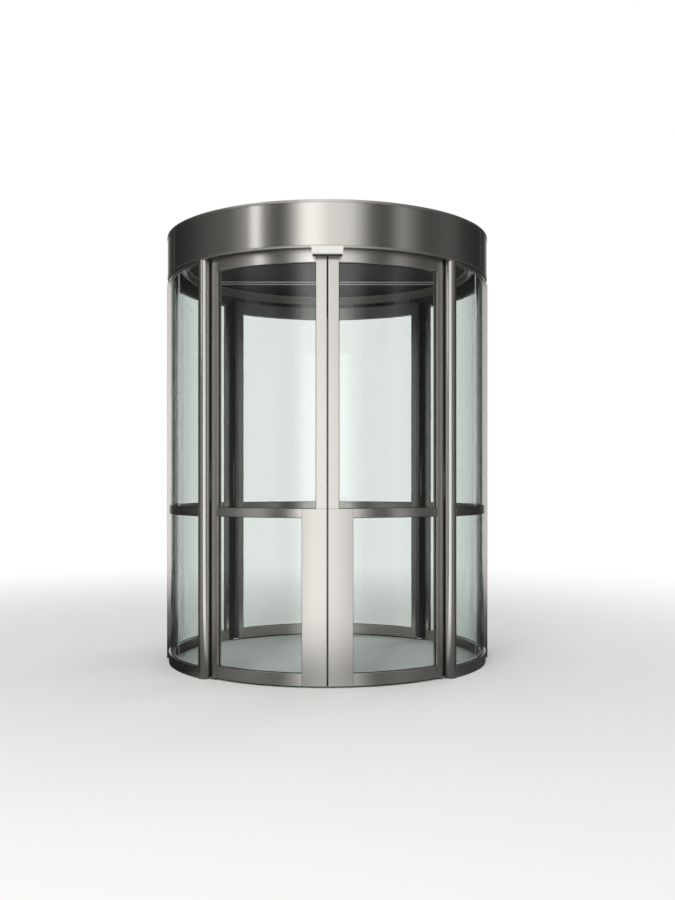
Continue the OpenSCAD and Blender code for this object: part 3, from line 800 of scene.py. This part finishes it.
class DOOR_OT_roof(PieceOperator, bpy.types.Operator):
    """Galvanised roof sheet with folded strips over its joints, sealant and screws"""
    bl_idname = "door.roof"
    bl_label = "Roof"

    # Outlines of a screw in (radius, height), as shares of its head's radius, and its sides
    WASHER = ((1.5, 0.0), (1.5, 0.12), (1.3, 0.2))
    HEAD = ((1.0, 0.15), (1.0, 0.45), (0.75, 0.75), (0.3, 0.85))
    SIDES = 16

    def execute(self, context):
        trim = context.scene.door_trim
        sheet = galvanised("galvanised_sheet", "#C0C2C3", "#A4A7A9", crystal_mm=22, roughness=0.42)
        # Polyurethane sealant: a dull grey skin
        putty = grained("polyurethane_sealant", "#5A5C5D", "#505253", grain_mm=6, roughness=0.7)
        # Zinc plated screws: bright points on the sheet
        plated = grained("plated_screw", "#C4C6C8", "#B2B5B8", grain_mm=3, roughness=0.35, metallic=1.0)
        # EPDM washers: a dull black ring under each head
        washer = grained("epdm_washer", "#242424", "#1A1A1A", grain_mm=3, roughness=0.6)
        give(sheet, "roof_plate")
        rim_r = solids("roof_rim")[0].radius[0]
        screw_ring = rim_r - trim.screw_inset
        strips = bmesh.new()
        sealant = bmesh.new()
        screws = bmesh.new()
        self.make_rim_bead(sealant, trim, rim_r)
        # The sheet is laid in three equal widths
        joint = rim_r / 3
        reach = math.sqrt(screw_ring ** 2 - (joint + trim.batten_w / 2) ** 2) - trim.batten_gap
        for x in (-joint, joint):
            self.make_strip(strips, sealant, trim, x, reach)
            for i in range(trim.strip_screws):
                y = reach * (2 * (i + 0.5) / trim.strip_screws - 1)
                self.make_screw(screws, trim, (x, y, ROOF_TOP + trim.batten_t))
        for i in range(trim.screw_count):
            self.make_screw(screws, trim, at(screw_ring, 2 * math.pi * i / trim.screw_count, ROOF_TOP))
        make_piece("roof_battens", strips, [sheet], "drum")
        make_piece("roof_sealant", sealant, [putty], "drum")
        make_piece("roof_screws", screws, [plated, washer], "drum")
        return {"FINISHED"}

    def make_strip(self, strips, sealant, trim, x, reach):
        """Folded strip with sloping sides, and a bead of sealant along each side."""
        half = trim.batten_w / 2
        slope = trim.batten_slope
        bead = trim.bead_w
        folded = ((-half, 0), (-half + slope, trim.batten_t), (half - slope, trim.batten_t), (half, 0))
        sides = [((side * half, 0), (side * (half + bead), 0), (side * (half - slope / 2), trim.batten_t / 2))
                 for side in (-1, 1)]
        for mesh, profile in [(strips, folded)] + [(sealant, side) for side in sides]:
            swept(mesh, [[(x + across, y, ROOF_TOP + up) for across, up in profile]
                         for y in (-reach, reach)])

    def make_rim_bead(self, sealant, trim, rim_r):
        """Bead of sealant where the sheet meets the rim."""
        profile = ((rim_r, ROOF_TOP), (rim_r - trim.bead_w, ROOF_TOP), (rim_r, ROOF_TOP + trim.bead_w / 2))
        count = round(2 * math.pi / FACET)
        swept(sealant, [[at(r, 2 * math.pi * i / count, z) for r, z in profile] for i in range(count)],
              closed=True)

    def make_screw(self, mesh, trim, place):
        """Domed head on a flat washer."""
        turns = [2 * math.pi * i / self.SIDES for i in range(self.SIDES)]
        for profile, material in ((self.WASHER, 1), (self.HEAD, 0)):
            swept(mesh, [[(place[0] + trim.screw_r * out * math.cos(turn),
                           place[1] + trim.screw_r * out * math.sin(turn),
                           place[2] + trim.screw_r * rise) for turn in turns]
                         for out, rise in profile], material)


class DOOR_OT_sensors(PieceOperator, bpy.types.Operator):
    """Moulded cases and dark windows of the motion sensors"""
    bl_idname = "door.sensors"
    bl_label = "Sensors"

    def execute(self, context):
        # Moulded ABS: pale grey, and satin from the mould's fine texture
        give(grained("abs_moulding", "#D8D7D3", "#D0CFCB", grain_mm=2, roughness=0.42, bump_mm=0.05),
             "sensor_cases")
        # Dark plastic that passes infrared light: black, and dull enough not to mirror the room; its near
        # black also paints the shade under the case
        give(grained("infrared_window_and_painted_shade", "#0B0B0D", "#070708", grain_mm=8, roughness=0.5, specular=0.1),
             "sensor_windows")
        round_edges("sensor_cases", context.scene.door_trim.case_r)
        return {"FINISHED"}


class DOOR_OT_floor_guides(PieceOperator, bpy.types.Operator):
    """Dark steel guides at the posts' feet"""
    bl_idname = "door.floor_guides"
    bl_label = "Floor Guides"

    def execute(self, context):
        # Satin steel, darkened by dirt from the floor
        give(grained("dark_satin_steel", "#5A5A58", "#4C4C4A", grain_mm=5, roughness=0.4, metallic=1.0),
             "floor_guides")
        return {"FINISHED"}


class DOOR_OT_stage(PieceOperator, bpy.types.Operator):
    """Pale floor, soft studio light and the camera"""
    bl_idname = "door.stage"
    bl_label = "Stage"

    def execute(self, context):
        stage = context.scene.door_stage
        scene = context.scene
        scene.view_settings.view_transform = "Standard"
        self.make_world(scene, stage)
        self.make_floor(stage)
        self.make_screen(stage)
        self.make_card(stage)
        self.make_lamps(stage)
        self.make_camera(scene, stage)
        return {"FINISHED"}

    def make_world(self, scene, stage):
        """White behind the door and in its glass and steel, and even light on the rest."""
        world = bpy.data.worlds.new("studio")
        world.use_nodes = True
        scene.world = world
        tree = world.node_tree
        tree.nodes.clear()
        path = add(tree, "LightPath").outputs
        seen = add(tree, "Math", {0: path["Is Camera Ray"], 1: path["Is Glossy Ray"]},
                   operation="MAXIMUM")
        seen = add(tree, "Math", {0: seen, 1: path["Is Transmission Ray"]}, operation="MAXIMUM")
        level = add(tree, "MapRange", {"Value": seen, "To Min": stage.ambient})
        back = add(tree, "Background", {"Color": linear("#FFFFFF"), "Strength": level})
        add(tree, "OutputWorld", {"Surface": back})

    def grey_by_azimuth(self, tree, place, front, rear):
        """A ramp of greys round the set, with those behind on either side."""
        axes = add(tree, "SeparateXYZ", {0: place}).outputs
        ahead = add(tree, "Math", {0: axes["Y"], 1: -1.0}, operation="MULTIPLY")
        azimuth = add(tree, "Math", {0: axes["X"], 1: ahead}, operation="ARCTAN2")
        part = add(tree, "MapRange", {"Value": azimuth, "From Min": -math.pi, "From Max": math.pi})
        ramp = add(tree, "ValToRGB", {0: part})
        stops = ramp.color_ramp.elements
        while len(stops) > 1:
            stops.remove(stops[0])
        greys = [(-degrees, grey) for degrees, grey in reversed(rear)] + list(front) + list(rear)
        for i, (degrees, grey) in enumerate(greys):
            stop = stops[0] if i == 0 else stops.new((degrees + 180) / 360)
            stop.position = (degrees + 180) / 360
            stop.color = linear(grey)
        return ramp

    def in_steel(self, tree):
        """Whether a reflection sees the surface, so that its ray has glossy bounces."""
        depth = add(tree, "LightPath").outputs["Glossy Depth"]
        return add(tree, "Math", {0: depth, 1: 0.5}, operation="GREATER_THAN")

    def make_floor(self, stage):
        """Pale floor that fades to white. In the steel it is grey beside the drum."""
        material, tree, place = new_material("studio_floor")
        far = add(tree, "VectorMath", {0: place}, operation="LENGTH").outputs["Value"]
        fade = add(tree, "MapRange", {"Value": far, "From Min": stage.fade[0], "From Max": stage.fade[1]},
                   interpolation_type="SMOOTHSTEP")
        paint = add(tree, "BsdfDiffuse", {"Color": linear(stage.floor_colour)})
        white = add(tree, "Emission", {"Color": linear("#FFFFFF"), "Strength": 1.0})
        direct = add(tree, "MixShader", {0: fade, 1: paint, 2: white})
        grey = self.grey_by_azimuth(tree, place, FRONT_GREYS, REAR_GREYS)
        dark = self.grey_by_azimuth(tree, place, NEAR_FRONT_GREYS, NEAR_REAR_GREYS)
        near = add(tree, "MapRange", {"Value": far, "From Min": stage.near[0], "From Max": stage.near[1]},
                   interpolation_type="SMOOTHSTEP")
        tone = add(tree, "Mix", {"Factor": near, 6: dark, 7: grey}, data_type="RGBA").outputs[2]
        mirrored = add(tree, "Emission", {"Color": tone, "Strength": stage.screen_level * stage.low_gain})
        both = add(tree, "MixShader", {0: self.in_steel(tree), 1: direct, 2: mirrored})
        add(tree, "OutputMaterial", {"Surface": both})
        mesh = bmesh.new()
        bmesh.ops.create_circle(mesh, cap_ends=True, segments=96, radius=stage.floor_r)
        self.place_stage("floor", mesh, material)

    def make_screen(self, stage):
        """Grey screen round the set, seen only in reflections, that gives the steel its bands."""
        material, tree, place = new_material("grey_screen")
        grey = self.grey_by_azimuth(tree, place, FRONT_GREYS, REAR_GREYS)
        height = add(tree, "SeparateXYZ", {0: place}).outputs["Z"]
        gain = add(tree, "MapRange",
                   {"Value": height, "From Min": stage.low[0], "From Max": stage.low[1],
                    "To Min": stage.low_gain, "To Max": 1.0}, interpolation_type="SMOOTHSTEP")
        strength = add(tree, "Math", {0: gain, 1: stage.screen_level}, operation="MULTIPLY")
        self.glow(tree, self.in_steel(tree), grey, strength)
        mesh = bmesh.new()
        sheet = (stage.screen_r, stage.screen_r + stage.screen_t)
        for corner in CORNERS:
            along_drum(mesh, box_profile(sheet, (stage.screen_gap, stage.screen_h)), corner,
                       (0.0, math.pi / 2))
        self.place_stage("screen", mesh, material, mirrored_only=True)

    def make_card(self, stage):
        """Bright card that hangs high in front of the screen and shows as a band in the steel. A
        smooth surface such as the glass shows it only in a second reflection."""
        material, tree, _ = new_material("bright_card")
        path = add(tree, "LightPath").outputs
        needed = add(tree, "Math", {0: path["Is Singular Ray"], 1: 0.5}, operation="ADD")
        seen = add(tree, "Math", {0: path["Glossy Depth"], 1: needed}, operation="GREATER_THAN")
        self.glow(tree, seen, linear("#FFFFFF"), stage.card_level)
        mesh = bmesh.new()
        back = stage.screen_r - stage.card_gap
        sheet = (back - stage.screen_t, back)
        along_drum(mesh, box_profile(sheet, (stage.card_foot, stage.screen_h)), "front_right", stage.card)
        self.place_stage("card", mesh, material, mirrored_only=True)

    def glow(self, tree, seen, colour, strength):
        """Light where the surface is seen, and nothing elsewhere."""
        lit = add(tree, "Emission", {"Color": colour, "Strength": strength})
        clear = add(tree, "BsdfTransparent")
        both = add(tree, "MixShader", {0: seen, 1: clear, 2: lit})
        add(tree, "OutputMaterial", {"Surface": both})

    def place_stage(self, name, mesh, material, mirrored_only=False):
        """Puts a piece of the set in the scene. One that is only mirrored has no shadow either."""
        thing = mesh_object(name, mesh, [material])
        if mirrored_only:
            thing.visible_camera = False
            thing.visible_diffuse = False
            thing.visible_shadow = False

    def make_lamps(self, stage):
        """Two large soft lamps, out of sight in the steel and the glass."""
        for name, place, size, power in (
            ("key", (-3.0, -9.0, 6.5), 5.0, stage.key),
            ("fill", (6.0, 7.0, 7.0), 6.0, stage.key * stage.fill),
        ):
            lamp = bpy.data.lights.new(name, "AREA")
            lamp.shape = "DISK"
            lamp.size = size
            lamp.energy = power
            holder = new_object(name, lamp)
            holder.location = place
            aim = Vector((0.0, 0.0, stage.aim_height)) - Vector(place)
            holder.rotation_euler = aim.to_track_quat("-Z", "Y").to_euler()
            holder.visible_camera = False
            holder.visible_glossy = False
            holder.visible_transmission = False

    def make_camera(self, scene, stage):
        data = bpy.data.cameras.new("camera")
        data.lens = stage.lens
        data.sensor_width = 36.0
        data.shift_y = stage.shift
        camera = new_object("camera", data)
        camera.location = (0.0, -stage.camera_distance, stage.camera_height)
        camera.rotation_euler = (math.pi / 2, 0.0, -stage.camera_turn)
        scene.camera = camera


class DOOR_PT_pieces(bpy.types.Panel):
    """Lists the door's operators and its sizes and colours"""
    bl_idname = "DOOR_PT_pieces"
    bl_label = "Circular Sliding Door"
    bl_space_type = "VIEW_3D"
    bl_region_type = "UI"
    bl_category = "Door"

    def draw(self, context):
        layout = self.layout
        for operator in OPERATORS:
            layout.operator(operator.bl_idname)
        for name, group in GROUPS:
            box = layout.box()
            box.label(text=group.__doc__)
            for prop in group.__annotations__:
                box.prop(getattr(context.scene, name), prop)


OPERATORS = (
    DOOR_OT_drum_steel, DOOR_OT_leaf_frames, DOOR_OT_glazing, DOOR_OT_gaskets, DOOR_OT_seals,
    DOOR_OT_head, DOOR_OT_fascia_joints, DOOR_OT_ceiling, DOOR_OT_roof, DOOR_OT_sensors,
    DOOR_OT_floor_guides, DOOR_OT_stage,
)
GROUPS = (
    ("door_steel", SteelLook),
    ("door_glass", GlassLook),
    ("door_trim", TrimSizes),
    ("door_stage", StageSizes),
)


def register():
    for name, group in GROUPS:
        bpy.utils.register_class(group)
        setattr(bpy.types.Scene, name, PointerProperty(type=group))
    for operator in OPERATORS:
        bpy.utils.register_class(operator)
    bpy.utils.register_class(DOOR_PT_pieces)


def unregister():
    bpy.utils.unregister_class(DOOR_PT_pieces)
    for operator in reversed(OPERATORS):
        bpy.utils.unregister_class(operator)
    for name, group in reversed(GROUPS):
        delattr(bpy.types.Scene, name)
        bpy.utils.unregister_class(group)


def main():
    register()
    bpy.ops.door.drum_steel()
    bpy.ops.door.leaf_frames()
    bpy.ops.door.glazing()
    bpy.ops.door.gaskets()
    bpy.ops.door.seals()
    bpy.ops.door.head()
    bpy.ops.door.fascia_joints()
    bpy.ops.door.ceiling()
    bpy.ops.door.roof()
    bpy.ops.door.sensors()
    bpy.ops.door.floor_guides()
    bpy.ops.door.stage()


if __name__ == "__main__":
    main()
